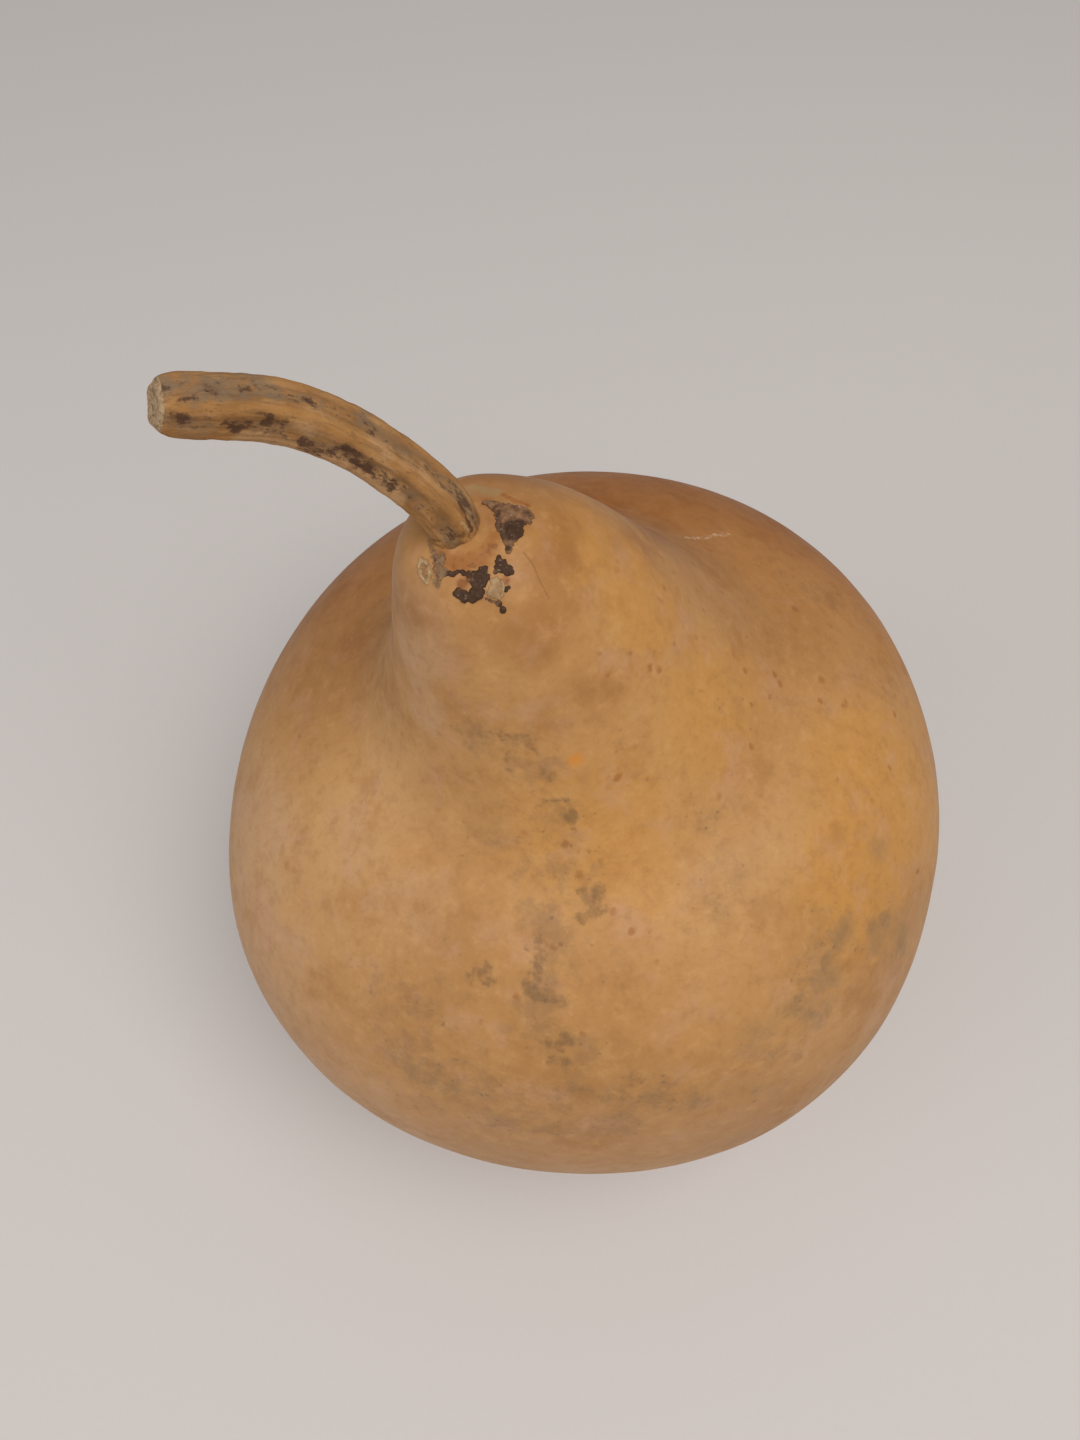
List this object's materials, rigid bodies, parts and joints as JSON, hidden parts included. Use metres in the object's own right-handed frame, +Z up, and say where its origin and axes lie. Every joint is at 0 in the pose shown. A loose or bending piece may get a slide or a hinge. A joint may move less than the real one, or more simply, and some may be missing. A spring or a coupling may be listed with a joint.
{
  "type": "calabash",
  "caption": "Dried kettle-shaped calabash gourd with a round tan body, a short leaning neck, a curved ridged stem and dark scabs round the stem",
  "frame": {"origin": "centre of the flat resting spot under the body", "axes": "+Z up along the standing height, -Y towards the viewer, the neck leans and the stem curves towards -X"},
  "size_m": [0.17, 0.17, 0.2285],
  "materials": {
    "rind": "dry smooth rind, low sheen",
    "stem": "dry ridged stalk, matt",
    "crust": "dry dark crust, matt",
    "scale": "papery dry scale, matt"
  },
  "bodies": {
    "root": {"fruit": "rind", "stem": "stem", "crust_front": "crust", "crust_side": "crust", "crust_small": "crust", "sliver": "crust", "scale_front": "scale", "scale_left": "scale"}
  },
  "joints": []
}
